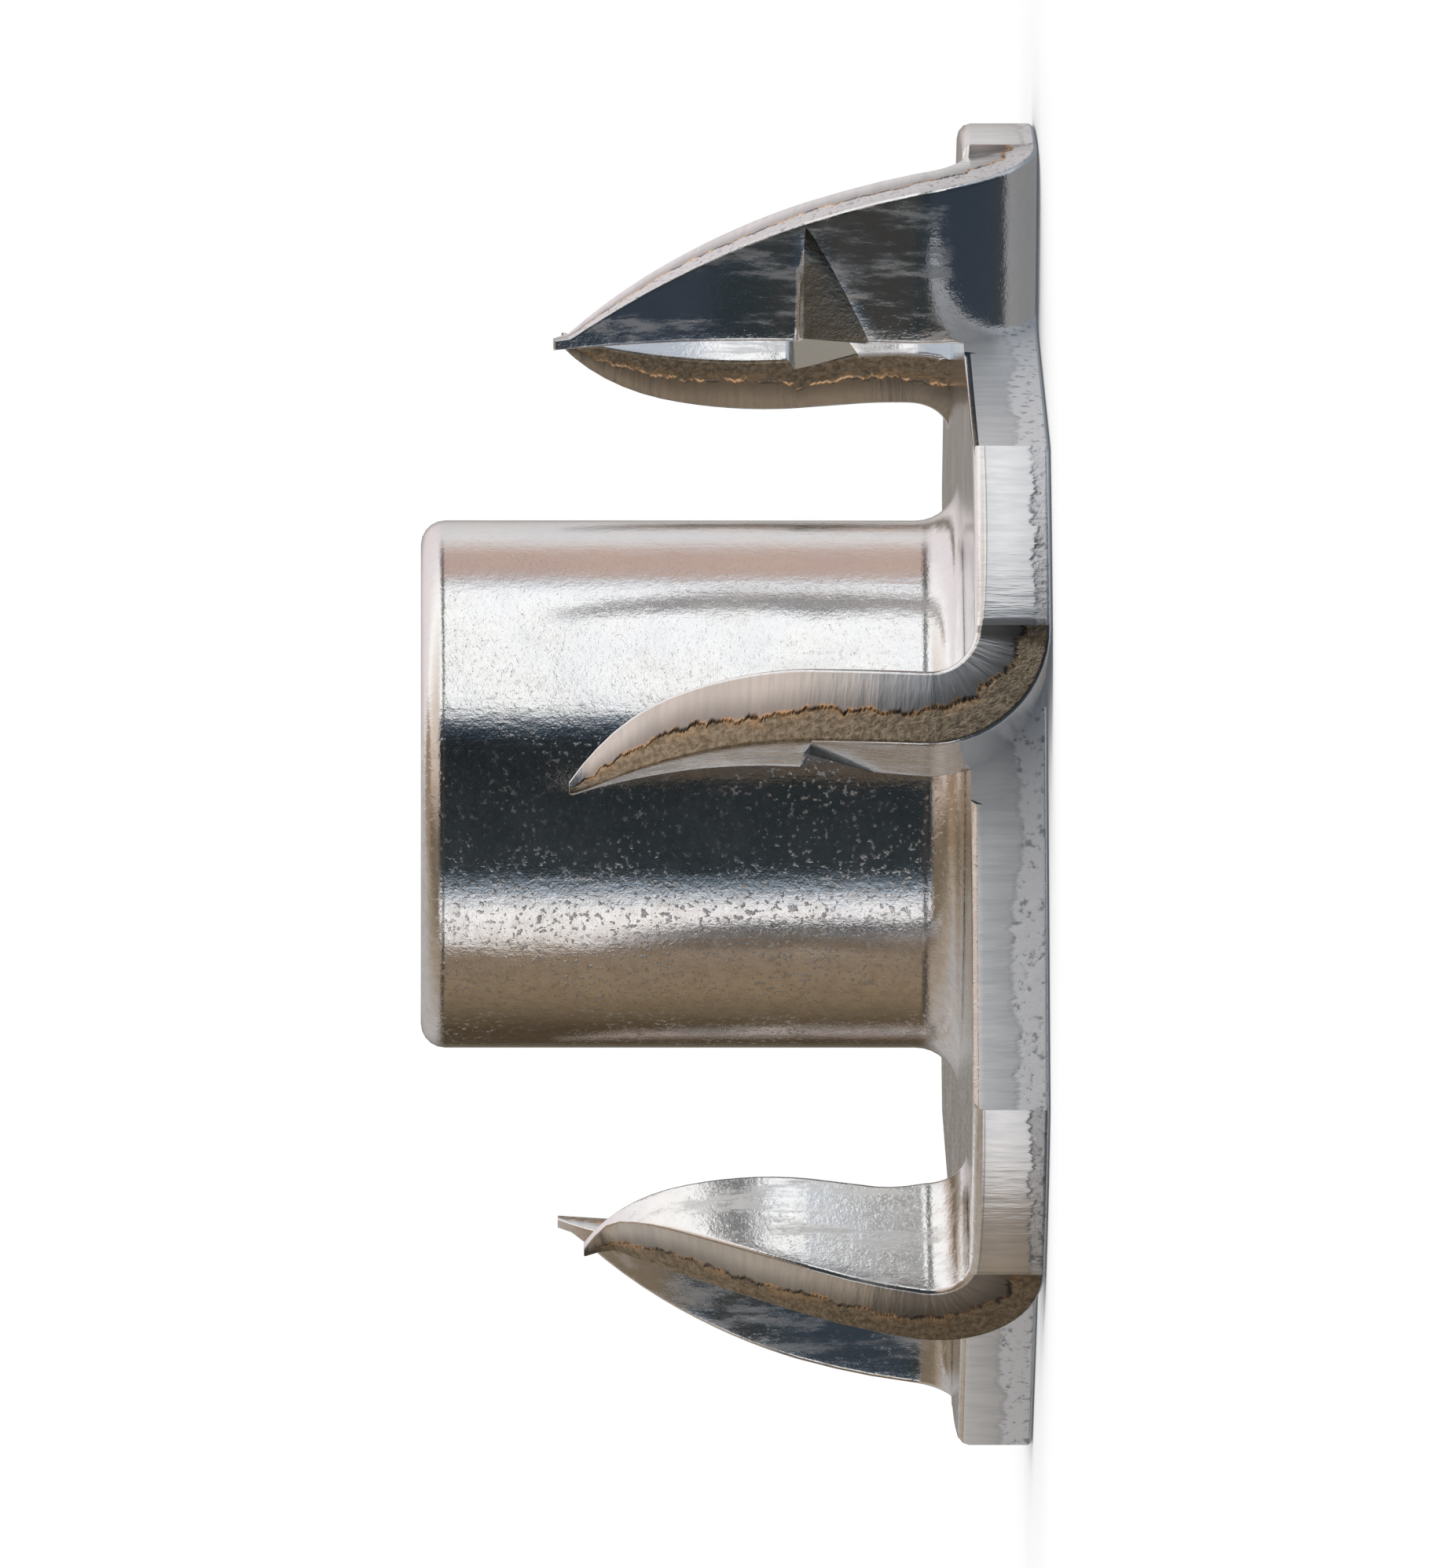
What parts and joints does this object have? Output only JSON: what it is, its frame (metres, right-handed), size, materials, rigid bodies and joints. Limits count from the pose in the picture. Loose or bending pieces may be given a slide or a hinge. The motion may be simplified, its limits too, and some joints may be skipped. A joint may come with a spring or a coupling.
{
  "type": "tee nut",
  "caption": "Pressed steel tee nut: a threaded barrel on a round flange, with pointed prongs bent up round the rim that bite into wood.",
  "frame": {"origin": "centre of the flange's outer face, on the axis of the barrel", "axes": "+Z along the barrel towards its open end; +X through the root of one prong, beside its fold"},
  "size_m": [0.019, 0.0188, 0.0088],
  "materials": {
    "zinc_steel": "bright zinc plate on pressed steel sheet, grey and striated on the sheared edges"
  },
  "bodies": {
    "root": {"tee_nut": "zinc_steel"}
  },
  "joints": []
}
